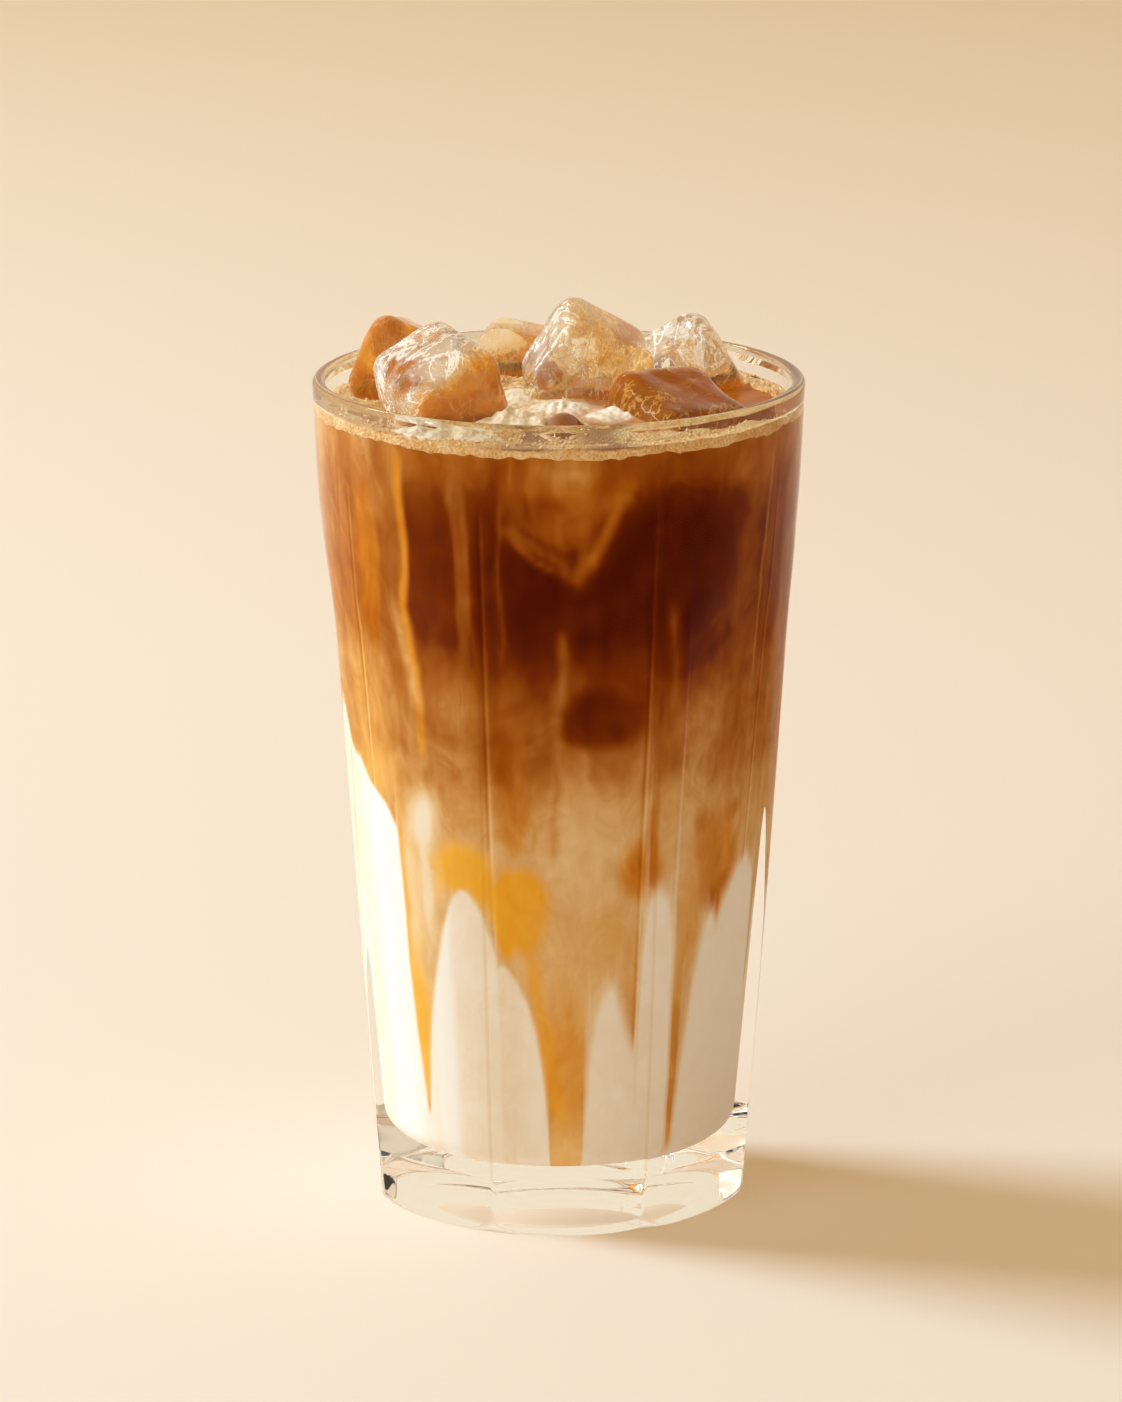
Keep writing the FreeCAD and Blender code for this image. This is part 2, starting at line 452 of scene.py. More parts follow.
def drink_side_material():
    material, tree, shader = new_material("drink_side")
    tree.links.new(drink_colour(tree), shader.inputs["Base Color"])
    shader.inputs["Roughness"].default_value = 0.7
    shader.inputs["Specular IOR Level"].default_value = 0.0
    # milk scatters the lamp's white light round to the side that faces away from it
    in_milk = share_between(tree, field_output(tree, "over_milk"), 0.6, -0.4)
    shader.inputs["Emission Color"].default_value = MILK_GLOW
    tree.links.new(maths(tree, "MULTIPLY", in_milk, MILK_GLOW_STRENGTH), shader.inputs["Emission Strength"])
    return material


def drink_top_material():
    material, tree, shader = new_material("drink_top")
    base = drink_colour(tree)
    foam = field_output(tree, "foam")
    cells = cell_distance(tree, position_output(tree), 900.0)
    froth = ramp(tree, cells, [(0.0, "#B9783A"), (0.3, "#DDAA6C"), (0.7, "#F2D6A8"), (1.0, "#FAEBD2")])
    paler = mix_colours(tree, maths(tree, "MULTIPLY", field_output(tree, "pale"), 0.75), froth, colour("#FFF4E6"))
    tree.links.new(mix_colours(tree, foam, base, paler), shader.inputs["Base Color"])
    rough = maths(tree, "ADD", maths(tree, "MULTIPLY", foam, 0.35), 0.3)
    tree.links.new(rough, shader.inputs["Roughness"])
    shader.inputs["Specular IOR Level"].default_value = 0.1
    set_bump(tree, shader, maths(tree, "MULTIPLY", foam, cells), 0.6, 0.0004)
    return material


def foam_material():
    material, tree, shader = new_material("foam")
    place = position_output(tree)
    cells = cell_distance(tree, place, 1900.0)
    patches = noise(tree, place, Scale=130.0, Detail=4.0, Roughness=0.6)
    warmth = maths(tree, "ADD", maths(tree, "MULTIPLY", patches, 0.9), maths(tree, "MULTIPLY", cells, 0.35))
    tint = ramp(tree, warmth, [(0.30, "#BE7932"), (0.50, "#DCA25A"), (0.72, "#F2CB93"), (0.95, "#FDEBD0")])
    mixed = mix_colours(tree, field_output(tree, "coffee_shows"), tint, colour("#7A3508"))
    tree.links.new(mixed, shader.inputs["Base Color"])
    shader.inputs["Roughness"].default_value = 0.45
    set_bump(tree, shader, cells, 0.7, 0.0004)
    return material


def bubble_material():
    """Thin pale skins, shiny where they catch the light."""
    material, tree, shader = new_material("bubbles")
    tone = noise(tree, position_output(tree), Scale=700.0, Detail=2.0)
    tint = ramp(tree, tone, [(0.3, "#E8BE86"), (0.5, "#F6DDB6"), (0.7, "#FFF4E2")])
    tree.links.new(tint, shader.inputs["Base Color"])
    shader.inputs["Roughness"].default_value = 0.18
    return material


def ice_material():
    """Clear ice with the coffee seen through it painted into its colour, white wisps and frosty specks inside, and
    painted white highlights along its edges.
    """
    material, tree, shader = new_material("ice")
    place = position_output(tree)
    patches = noise(tree, place, Scale=80.0, Detail=4.0, Roughness=0.55, Distortion=1.8)
    # the amber and brown of the coffee seen through the ice, painted in
    coffee_seen_in_ice = maths(tree, "ADD", field_output(tree, "coffee_seen_in_ice"),
                  maths(tree, "MULTIPLY", maths(tree, "SUBTRACT", patches, 0.5), 0.7), clamp=True)
    tint = ramp(tree, coffee_seen_in_ice, [
        (0.0, "#FFFFFC"), (0.20, "#FFF6E4"), (0.38, "#FFDD98"), (0.58, "#FCAE30"), (0.74, "#DC7E0E"),
        (1.0, "#8E4604")])

    cloudy = share_between(tree, patches, 0.40, 0.54)
    streaky = position_output(tree, (1, 0.6, 0.4))
    winding = noise(tree, streaky, Scale=100.0, Detail=5.0, Roughness=0.6, Distortion=2.0)
    off_middle = maths(tree, "ABSOLUTE", maths(tree, "SUBTRACT", winding, 0.5), 0.0)
    wisps = share_between(tree, off_middle, 0.022, 0.0)
    grains = noise(tree, place, Scale=1100.0, Detail=3.0, Roughness=0.7)
    specks = share_between(tree, grains, 0.56, 0.66)
    inside = maths(tree, "ADD", maths(tree, "MULTIPLY", wisps, 0.9), maths(tree, "MULTIPLY", specks, 0.35))
    inside = maths(tree, "MULTIPLY", maths(tree, "ADD", inside, 0.14), cloudy)
    # white painted highlights on the sharp edges, broken up by the winding noise
    edge_glint = maths(tree, "MULTIPLY", field_output(tree, "edge"), share_between(tree, winding, 0.40, 0.62))
    frost = maths(tree, "ADD", maths(tree, "MULTIPLY", inside, field_output(tree, "frost")),
                  maths(tree, "MULTIPLY", edge_glint, 0.6), clamp=True)
    frost_tint = ramp(tree, coffee_seen_in_ice, [(0.3, "#FFF8EA"), (0.9, "#E0A254")])
    tree.links.new(mix_colours(tree, frost, tint, frost_tint), shader.inputs["Base Color"])
    coffee_haze = maths(tree, "MULTIPLY", maths(tree, "MULTIPLY", coffee_seen_in_ice, coffee_seen_in_ice), 0.8)
    haze = maths(tree, "ADD", frost, coffee_haze, clamp=True)
    tree.links.new(maths(tree, "SUBTRACT", 1.0, haze), shader.inputs["Transmission Weight"])
    tree.links.new(maths(tree, "ADD", maths(tree, "MULTIPLY", frost, 0.4), 0.02), shader.inputs["Roughness"])
    shader.inputs["IOR"].default_value = ICE_IOR
    shader.inputs["Coat Weight"].default_value = 0.6
    shader.inputs["Coat IOR"].default_value = 1.35
    shader.inputs["Coat Roughness"].default_value = 0.03
    ripple = noise(tree, place, Scale=130.0, Detail=2.5, Roughness=0.5, Distortion=1.0)
    set_bump(tree, shader, ripple, 0.45, 0.001)
    let_lamps_through(tree, shader, colour("#F7F3EA"))
    return material


def floor_material():
    material, tree, shader = new_material("table")
    place = tree.nodes.new("ShaderNodeTexCoord").outputs["Object"]
    depth = add_node(tree, "ShaderNodeSeparateXYZ", [(place, "Vector")]).outputs["Y"]
    share = share_between(tree, depth, -0.25, 1.6)
    tint = ramp(tree, share, [(0.0, "#FBEEE2"), (0.35, "#F9E8D8"), (1.0, "#E9D1B0")])
    tree.links.new(tint, shader.inputs["Base Color"])
    shader.inputs["Roughness"].default_value = 0.75
    set_bump(tree, shader, noise(tree, place, Scale=300.0, Detail=4.0), 0.04, 0.0005)
    # light that the thick glass base gathers on the table under it
    from_axis = add_node(tree, "ShaderNodeVectorMath", [(place, 0)], operation="LENGTH").outputs["Value"]
    standing_ring = BASE_RADIUS - HEEL_RADIUS
    under_base = share_between(tree, from_axis, standing_ring * MM, (standing_ring - 3) * MM)
    shader.inputs["Emission Color"].default_value = TABLE_GLOW
    tree.links.new(maths(tree, "MULTIPLY", under_base, TABLE_GLOW_STRENGTH), shader.inputs["Emission Strength"])
    return material


# ---------------------------------------------------------------- the tumbler

def make_tumbler():
    angle = even_angles(TUMBLER_COLUMNS)
    rows = []
    # under the base, from the centre out: the punt's dome, then the flat ring
    dome = (PUNT_RADIUS ** 2 + PUNT_DEPTH ** 2) / (2 * PUNT_DEPTH)
    for radius in (2, 7, 12, 16, 19, 20.4, 24):
        height = max(math.sqrt(dome ** 2 - radius ** 2) - dome + PUNT_DEPTH, 0)
        rows.append(polar_points(angle, radius, height))
    # the heel and the side
    heel_centre = round_radius(HEEL_RADIUS) - HEEL_RADIUS
    for turn in np.linspace(-math.pi / 2, 0, 12)[:-1]:
        height = HEEL_RADIUS * (1 + math.sin(turn))
        blank = heel_centre + HEEL_RADIUS * math.cos(turn)
        rows.append(polar_points(angle, outer_radius(angle, height, blank), height))
    heights = np.concatenate([
        np.linspace(HEEL_RADIUS, 110, 38), np.linspace(110.8, 142, 40), np.linspace(144, HEIGHT - LIP_RADIUS, 4)])
    for height in heights:
        rows.append(polar_points(angle, outer_radius(angle, height, round_radius(height)), height))
    # the lip, the inner wall, the corner and the floor
    for turn in np.linspace(0, math.pi, 12)[1:]:
        radius = RIM_RADIUS - LIP_RADIUS + LIP_RADIUS * math.cos(turn)
        rows.append(polar_points(angle, radius, HEIGHT - LIP_RADIUS + LIP_RADIUS * math.sin(turn)))
    corner_radii, corner_heights = floor_corner(9)
    for height in np.linspace(HEIGHT - LIP_RADIUS, corner_heights[0], 12)[1:-1]:
        rows.append(polar_points(angle, inner_radius(height), height))
    for radius, height in zip(corner_radii, corner_heights):
        rows.append(polar_points(angle, radius, height))
    for radius in (18, 9, 2):
        rows.append(polar_points(angle, radius, FLOOR_HEIGHT))
    piece = closed_turning("tumbler", rows, (0, 0, PUNT_DEPTH), (0, 0, FLOOR_HEIGHT))
    # The lip's greyish tint and the darker tints where base and lip are seen edge on are painted shade.
    set_materials(
        piece,
        glass_material("clear_glass", GLASS_IOR, 0.0, "#FDFDFB", "#A89E84"),
        glass_material("clear_glass_wall", WALL_IOR, 0.3),
        glass_material("clear_glass_edge", WALL_IOR, 0.3, "#F0E7D6"),
        glass_material("clear_glass_lip", GLASS_IOR, 0.0, "#E4DFCE", "#6E6448"))
    step = 360 / PANEL_COUNT
    # Thin strips along each panel edge get the faintly tinted edge glass, a painted dark line where the edge bends
    # the view.
    for face in piece.data.polygons:
        centre = face.center / MM
        if WALL_FOOT < centre.z < FOAM_TOP + 0.5:
            angle = math.degrees(math.atan2(centre.x, -centre.y))
            from_edge = abs((angle - PANEL_TURN) % step - step / 2)
            on_edge = from_edge < 0.35 and centre.z < PANEL_TOP_HEIGHT + 16
            face.material_index = 2 if on_edge else 1
        elif centre.z > HEIGHT - 3.5:
            face.material_index = 3
    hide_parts("glass")
    return piece


# ---------------------------------------------------------------- ice

def ice_from_node(name, seed):
    """A half-melted cube: the CAD block with hollows and bumps on its faces."""
    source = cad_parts[name]
    piece = bpy.data.objects.new(name.replace("ice_", "ice_cube_"), source.data.copy())
    show(piece)
    apply_modifier(piece, "REMESH", mode="VOXEL", voxel_size=0.7 * MM)
    apply_modifier(piece, "SMOOTH", factor=0.5, iterations=4)
    piece.data.shade_smooth()
    points = vertex_points(piece)
    normals = vertex_normals(piece)
    melt = 0.40 * waves(points, 17, seed, 2) + 0.07 * waves(points, 4.5, seed + 50, 2)
    set_vertex_points(piece, points + normals * (melt - 0.3)[:, None])
    return piece


def pocket_cutter(piece):
    """A slightly smaller, coarser copy of an ice cube, which cuts the drink and the foam."""
    cutter = bpy.data.objects.new(piece.name + "_pocket", piece.data.copy())
    show(cutter)
    apply_modifier(cutter, "REMESH", mode="VOXEL", voxel_size=1.2 * MM)
    points = vertex_points(cutter)
    normals = vertex_normals(cutter)
    set_vertex_points(cutter, points - normals * ICE_REACH)
    return cutter


# Coffee seen through the cubes, painted into their colour: how much all over, the side with more (a direction), how
# much more there, and frost.
ICE_LOOKS = {
    "ice_left_back": (0.30, (-0.4, -0.2, 1.0), 0.45, 1.0),
    "ice_left": (0.0, (0.75, -0.60, -0.35), 0.70, 2.2),
    "ice_back": (0.16, (0.3, 0.0, 1.0), 0.15, 0.6),
    "ice_centre": (0.0, (0.8, -0.3, 0.6), 0.36, 1.2),
    "ice_right_back": (0.0, (1.0, -0.3, 0.3), 0.12, 1.8),
    "ice_right_front": (0.80, (0.0, 0.0, -1.0), 0.10, 0.9),
    "ice_front": (0.95, (0.0, 0.0, 1.0), 0.05, 0.4),
}


def edge_sharpness(piece, points):
    """0 on flat faces and 1 on the sharpest edges, from how far each point stands out of its neighbours."""
    normals = vertex_normals(piece)
    pairs = np.array([edge.vertices[:] for edge in piece.data.edges])
    away = points[pairs[:, 1]] - points[pairs[:, 0]]
    drop = np.zeros(len(points))
    count = np.zeros(len(points))
    np.add.at(drop, pairs[:, 0], -(away * normals[pairs[:, 0]]).sum(axis=1))
    np.add.at(drop, pairs[:, 1], (away * normals[pairs[:, 1]]).sum(axis=1))
    np.add.at(count, pairs.ravel(), 1)
    return smooth_step(0.035, 0.085, drop / count)


def paint_coffee_seen_in_cube(piece, name):
    overall, direction, extra, frost = ICE_LOOKS[name]
    points = vertex_points(piece)
    centre = (points.min(axis=0) + points.max(axis=0)) / 2
    toward = np.array(direction) / np.linalg.norm(direction)
    # the coffee seen through the cube is painted in, more on one side and near and under the waterline
    side = smooth_step(1, 7, (points - centre) @ toward + 1.5 * waves(points, 14, len(name), 2))
    coffee_haze = 0.50 * np.exp(-np.maximum(points[:, 2] - FOAM_TOP, 0) / 2.2)
    set_field(piece, "coffee_seen_in_ice", np.clip(overall + extra * side + coffee_haze, 0, 1))
    set_field(piece, "frost", frost * (1 - 0.6 * side))
    set_field(piece, "edge", edge_sharpness(piece, points))


def make_ice():
    material = ice_material()
    cubes = {}
    for index, name in enumerate(ICE_NODES):
        piece = ice_from_node(name, SEED + index)
        set_materials(piece, material)
        paint_coffee_seen_in_cube(piece, name)
        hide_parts(name)
        cubes[name] = piece
    return cubes


def nearest_distance(tree, points, limit=40.0):
    """Distance in millimetres from each point to a surface, up to a limit."""
    distances = np.full(len(points), limit)
    for index, point in enumerate(points * MM):
        found = tree.find_nearest(Vector(point), limit * MM)
        if found[3] is not None:
            distances[index] = found[3] / MM
    return distances


def gap_outside(tree, point):
    """Distance in millimetres from a point to a closed surface, or below zero when the point is inside it."""
    place = Vector(point * MM)
    nearest, normal, _, distance = tree.find_nearest(place)
    return distance / MM if (place - nearest).dot(normal) > 0 else -distance / MM


def surface_tree(piece):
    mesh = piece.data
    corners = [vertex.co.copy() for vertex in mesh.vertices]
    return BVHTree.FromPolygons(corners, [face.vertices[:] for face in mesh.polygons])


# ---------------------------------------------------------------- the drink's colours

# Coffee strength down the side, and how deep it gets round the drink (angle in degrees from the front).
STRENGTH_BY_HEIGHT = [
    (50, 0.20), (66, 0.22), (74, 0.25), (80, 0.32), (86, 0.44), (92, 0.54), (98, 0.64), (104, 0.76),
    (112, 0.94), (130, 0.98), (138, 0.84), (142, 0.70), (146, 0.60)]
DEPTH_BY_ANGLE = [
    (-180, 0.95), (-150, 0.8), (-120, 0.95), (-100, 0.62), (-85, 0.46), (-72, 0.46), (-60, 0.52), (-52, 0.6),
    (-46, 0.62), (-42.5, 0.66), (-41, 0.85), (-22, 0.88), (-14, 0.98), (0, 1.0), (40, 1.0), (50, 0.9),
    (55, 0.76), (62, 0.76), (66, 0.85), (73, 0.82), (80, 0.6), (95, 0.7), (110, 0.95), (140, 0.75), (180, 0.95)]
# The milk's upper edge, with arches and drips hanging into it.
MILK_EDGE_BY_ANGLE = [
    (-180, 60), (-150, 66), (-125, 62), (-100, 84), (-84, 100), (-76, 86), (-67.5, 80), (-59, 77), (-54.2, 73),
    (-53.4, 60), (-52.8, 45), (-51.5, 34), (-50, 25), (-48.8, 19.5), (-47.8, 20), (-46.5, 28), (-45, 35.5),
    (-42.5, 43), (-40, 49), (-37.5, 55), (-35, 59), (-32.5, 62.5), (-30, 64), (-27.5, 63.8), (-25, 62),
    (-22.5, 58.5), (-20.2, 54), (-19.6, 50.5), (-18, 50.8), (-16, 50), (-13, 47.5), (-10, 43.5), (-7.5, 38),
    (-5.5, 31), (-4.4, 26), (-3.6, 20), (-3.2, 11), (8.2, 11), (8.4, 20), (8.8, 25), (10, 35.5),
    (12, 41), (14, 44.5), (16, 47), (18, 46), (20, 43), (22, 39), (24, 35.5), (25, 34.5), (25.6, 37),
    (26.2, 44), (26.8, 56), (27.3, 61), (28.5, 63), (31, 64.5), (34, 62), (35.8, 58), (36.6, 46), (37, 30),
    (37.4, 21), (38, 14.5), (39.8, 14), (40.6, 20.5), (42, 32), (43.5, 38), (45, 43), (47, 48.5), (49, 53),
    (51, 57), (52, 58), (53.5, 57.5), (55, 55.5), (56, 54.5), (57.5, 57), (60, 60), (62.5, 62), (66, 64),
    (72, 66), (80, 62), (90, 54), (100, 58), (140, 64), (180, 60)]
# Drips round the back: angle, tip height, half width of the tip, spread.
DRIPS = [
    (84, 40, 0.8, 10), (106, 20, 2.4, 11), (131, 38, 0.6, 8), (158, 16, 3.0, 12), (-172, 42, 0.6, 8),
    (-141, 24, 2.2, 11), (-114, 46, 0.8, 9), (-94, 62, 0.6, 8)]
# How soft the milk's edge is round the drink
EDGE_SOFTNESS_BY_ANGLE = [
    (-180, 2.5), (-100, 1.5), (-30, 1.5), (-4, 1.4), (4, 2.6), (14, 3.6), (60, 4.0), (120, 3.0), (180, 2.5)]
# How much coffee tints the milk round the drink; where it is 0 on the left, the milk shows white as a painted
# highlight of the lamp
MILK_TINT_AND_HIGHLIGHT_BY_ANGLE = [
    (-180, 0.05), (-90, 0.06), (-80, 0.09), (-70, 0.05), (-66, 0.0), (-55, 0.0), (-50, 0.03), (-44, 0.04),
    (-41, 0.0), (-36, 0.0), (-33, 0.07), (-21, 0.08), (-19.9, 0.07), (-19.2, 0.11), (-6, 0.06), (10, 0.08),
    (40, 0.06),
    (60, 0.05), (180, 0.05)]
# Clouds in the drink: angle, height, half width, half height, edge softness, strength, amber, cover.
CLOUDS = [
    # copper and amber on the left
    (-68, 126, 10, 24, 0.6, 0.54, 0.45, 0.8), (-57, 122, 5.5, 14, 0.25, 0.48, 0.95, 0.9),
    (-57, 111.5, 5, 2.8, 0.5, 0.58, 0.8, 0.8), (-49.5, 126, 3.2, 20, 0.4, 0.58, 0.15, 0.8),
    (-64, 93, 11, 13, 0.6, 0.30, 0.45, 0.85), (-62, 83, 10, 5, 0.7, 0.18, 0.7, 0.8),
    (-31, 99, 12, 8, 0.45, 0.48, 0.18, 0.8), (-28, 98, 6, 4, 0.8, 0.38, 0.1, 0.6),
    (-36, 88, 10, 5, 0.8, 0.36, 0.1, 0.6), (-14, 92, 4.5, 12, 0.6, 0.60, 0.5, 0.8),
    (-14, 78, 4, 6, 0.6, 0.42, 0.6, 0.8), (-52, 134, 5, 6, 0.8, 0.40, 0.3, 0.5),
    # warm light under the foam
    (-30, 143, 13, 4, 0.8, 0.56, 0.6, 0.7), (24, 143, 14, 4.5, 0.8, 0.62, 0.6, 0.75),
    (44, 142, 12, 5, 0.8, 0.60, 0.35, 0.7), (62, 140, 8, 6, 0.8, 0.52, 0.5, 0.6),
    # the darkest coffee
    (-6, 117, 6, 8, 0.7, 1.0, 0.0, 0.8), (33, 124, 9, 14, 0.7, 1.0, 0.0, 0.7),
    # a sunken cube
    (12, 97, 11, 5.2, 0.4, 0.90, 0.0, 0.88), (5, 95, 5, 3.4, 0.5, 0.88, 0.0, 0.7),
    (12, 88, 9, 4, 0.8, 0.46, 0.0, 0.5),
    # the right
    (57, 118, 4, 26, 0.5, 0.66, 0.35, 0.8), (70, 120, 4.0, 24, 0.5, 0.66, 0.55, 0.8),
    (50, 135, 2.6, 2.6, 0.6, 0.82, 0.1, 0.7), (52, 140.5, 5, 3, 0.8, 0.42, 0.2, 0.6),
    (44, 92, 9, 8, 0.6, 0.34, 0.0, 0.75), (58, 92, 6, 9, 0.7, 0.54, 0.2, 0.7),
    (10, 75, 14, 10, 0.7, 0.17, 0.1, 0.7), (40, 78, 10, 6, 0.8, 0.22, 0.1, 0.6),
    (25, 68.5, 5.5, 4.5, 0.6, 0.44, 0.85, 0.85), (28, 72, 1.6, 8, 0.6, 0.50, 0.8, 0.7),
    (54, 67, 9, 9, 0.5, 0.42, 0.85, 0.75), (54, 60, 4, 4, 0.6, 0.48, 0.85, 0.8),
    (47, 75.5, 3.5, 2, 0.6, 0.46, 0.5, 0.6), (60, 76, 3, 1.6, 0.6, 0.46, 0.5, 0.6),
    # amber pools over the milk
    (-29, 68, 9, 5.5, 0.35, 0.13, 1.0, 0.95), (-11, 61, 8.6, 8.0, 0.22, 0.18, 1.0, 0.97),
    (-16, 60.5, 3.8, 8.6, 0.2, 0.18, 1.0, 0.97),
    (-49, 60, 4, 14, 0.6, 0.07, 0.5, 0.85), (-49, 36, 5, 14, 0.5, 0.12, 1.0, 0.9),
    (-42, 76, 5.5, 5, 0.7, 0.02, 0.1, 0.9), (-42, 64, 3, 10, 0.7, 0.04, 0.25, 0.85),
    # the drips
    (2, 30, 8, 16, 0.6, 0.26, 0.75, 0.85), (4, 53, 9, 9, 0.7, 0.20, 0.35, 0.7),
    (16, 56, 6, 6, 0.7, 0.22, 0.5, 0.6),
    (3, 14.5, 9, 4.5, 0.7, 0.10, 0.6, 0.85), (39, 15, 3, 4, 0.7, 0.14, 0.6, 0.8),
    (40, 30, 4, 16, 0.6, 0.32, 0.6, 0.8), (42, 55, 4, 10, 0.6, 0.28, 0.5, 0.7),
    (23, 45, 3, 10, 0.6, 0.28, 0.4, 0.7),
    # round the back
    (104, 90, 7, 16, 0.7, 0.45, 0.4, 0.7), (104, 50, 6, 22, 0.6, 0.26, 0.8, 0.8),
    (128, 124, 6, 18, 0.5, 0.50, 0.5, 0.7),
    (158, 60, 8, 20, 0.6, 0.24, 0.9, 0.8), (152, 104, 10, 7, 0.6, 0.42, 0.1, 0.7),
    (-172, 118, 8, 12, 0.7, 1.0, 0.0, 0.7),
    (-141, 58, 7, 20, 0.6, 0.22, 0.9, 0.8), (-128, 96, 10, 9, 0.6, 0.38, 0.2, 0.7),
    (-112, 122, 6, 18, 0.4, 0.42, 0.8, 0.8),
    (-156, 128, 4, 14, 0.5, 0.55, 0.4, 0.7)]
# Streaks: chain of (angle, height), half width, softness, strength, amber, cover.
STREAKS = [
    ([(-43.6, 144), (-43, 130), (-43.2, 115), (-41.6, 104), (-41, 88)], 0.8, 0.8, 0.30, 1.0, 0.9),
    ([(-47.5, 117), (-45, 110), (-43.3, 104), (-42, 96)], 0.9, 1.2, 0.16, 0.2, 0.65),
    # a paler, duller band: a painted reflection of the lamp in the glass wall
    ([(-26.2, 142), (-25.4, 125), (-25, 109)], 1.3, 0.5, 0.50, 0.05, 0.75),
    ([(-15.3, 141), (-15, 108)], 0.4, 0.5, 0.58, 0.5, 0.6),
    ([(-37.5, 69), (-33, 72.5), (-28, 72), (-23, 67), (-19.5, 60)], 2.2, 0.8, 0.14, 1.0, 0.95),
    ([(-37, 70), (-36.8, 61)], 1.0, 0.9, 0.08, 0.9, 0.8),
    ([(-52.3, 79), (-52, 60), (-51.3, 44)], 0.5, 0.7, 0.16, 1.0, 0.7),
    ([(2.2, 113), (0.6, 104), (-0.8, 92), (-1.5, 80), (-1.5, 70)], 0.8, 1.2, 0.40, 0.05, 0.6),
    ([(30, 118), (32.5, 108), (34, 96), (34, 84)], 0.8, 1.2, 0.50, 0.05, 0.55),
    ([(36, 104.5), (43, 107), (50, 110)], 1.3, 1.3, 0.96, 0.0, 0.75),
    ([(35, 108.5), (42, 111), (47, 113.5)], 0.5, 0.8, 0.70, 0.1, 0.5),
    ([(3, 102.5), (9, 104.2), (16, 102.5)], 0.8, 1.0, 0.46, 0.0, 0.7),
    ([(-9, 54), (-6, 42), (-2.5, 30), (0, 20)], 1.5, 1.5, 0.20, 1.0, 0.8),
    ([(45, 46), (43.8, 38), (42, 29)], 0.4, 0.7, 0.48, 0.7, 0.8),
    ([(65.4, 142), (64.8, 120), (64.4, 98)], 0.3, 0.3, 0.34, 0.3, 0.7),
    ([(96, 132), (99, 112), (98, 92)], 1.2, 1.2, 0.40, 0.2, 0.7),
    ([(146, 118), (149, 100), (148, 82)], 1.1, 1.3, 0.36, 0.1, 0.7),
    ([(-160, 116), (-163, 100), (-161, 80)], 1.1, 1.3, 0.36, 0.1, 0.7),
    ([(-100, 144), (-101, 120), (-99, 92)], 0.8, 0.8, 0.30, 1.0, 0.8)]
# The ice cube that leans against the front shows dimly through the coffee, by its lower outline.
GHOST_EDGE = [
    (-14.5, 137), (-13.5, 131), (-6, 126.5), (1, 123.5), (5, 122.6), (9, 126), (13, 132), (17, 138),
    (20.5, 146)]
# Inside the sunken cube; the pale patch at its top is a painted highlight.
GHOST_CLOUDS = [
    (1, 142.5, 8, 3.0, 0.9, 0.30, 0.2, 0.75), (-6, 134, 6, 4, 0.8, 0.66, 0.5, 0.6),
    (8, 136.5, 6, 3.0, 0.8, 0.48, 0.7, 0.6),
    (-3, 139, 6, 1.6, 0.8, 0.42, 0.7, 0.6), (4, 132, 5, 2.2, 0.8, 0.50, 0.6, 0.6),
    (4.2, 126.2, 2.2, 1.9, 0.6, 0.92, 0.1, 0.8), (9, 130, 1.8, 2.2, 0.7, 0.84, 0.2, 0.6)]
GHOST_STREAKS = [
    ([(-14, 131.5), (-6, 126), (1, 123.4), (5, 122.3)], 0.55, 0.7, 0.50, 0.6, 0.75),
    ([(5, 122.3), (11, 131), (15, 137), (19.5, 143)], 1.5, 1.2, 0.52, 0.8, 0.85),
    ([(-13, 136), (-11, 132.5), (-5, 129.4), (2, 127)], 0.6, 0.8, 0.86, 0.2, 0.75),
    ([(6, 126.2), (9.5, 131), (12, 135)], 0.5, 0.8, 0.82, 0.3, 0.7)]
MM_PER_DEGREE = 0.6


def table_value(table, place):
    places, values = zip(*table)
    return np.interp(place, places, values)


def distance_to_line(angle, height, line):
    """Distance in millimetres to a chain of points."""
    scale = MM_PER_DEGREE
    best = np.full(angle.shape, 1e3)
    for (angle_a, height_a), (angle_b, height_b) in zip(line, line[1:]):
        along = np.array([(angle_b - angle_a) * scale, height_b - height_a])
        from_a = np.stack([(angle - angle_a) * scale, height - height_a])
        share = np.clip((from_a * along[:, None]).sum(0) / (along @ along), 0, 1)
        gap = np.hypot(*(from_a - share * along[:, None]))
        best = np.minimum(best, gap)
    return best


def milk_edge(angle):
    edge = table_value(MILK_EDGE_BY_ANGLE, angle)
    for centre, tip, half_width, spread in DRIPS:
        away = np.maximum(np.abs(turn_between(angle, centre)) - half_width, 0)
        edge = np.minimum(edge, tip + spread * away ** 0.6)
    return edge


def over_milk(angle, height):
    """About the distance in millimetres above the milk's edge, measured square to the edge."""
    slope = (milk_edge(angle + 0.4) - milk_edge(angle - 0.4)) / (0.8 * MM_PER_DEGREE)
    return (height - milk_edge(angle)) / np.sqrt(1 + slope ** 2)


def lay_over(strength, amber, cover, new_strength, new_amber):
    return strength + (new_strength - strength) * cover, amber + (new_amber - amber) * cover


def add_clouds(angle, height, strength, amber, clouds, streaks):
    for centre, middle, half_width, half_height, softness, new_strength, new_amber, amount in clouds:
        reach = np.hypot(turn_between(angle, centre) / half_width, (height - middle) / half_height)
        cover = amount * smooth_step(1 + softness, 1 - softness, reach)
        strength, amber = lay_over(strength, amber, cover, new_strength, new_amber)
    for line, half_width, softness, new_strength, new_amber, amount in streaks:
        gap = distance_to_line(angle, height, line)
        low, high = line[-1][1], line[0][1]
        fade = smooth_step(-3, 4, height - min(low, high)) * smooth_step(-3, 4, max(low, high) - height)
        cover = amount * smooth_step(half_width + softness, half_width - softness, gap)
        strength, amber = lay_over(strength, amber, cover * fade, new_strength, new_amber)
    return strength, amber


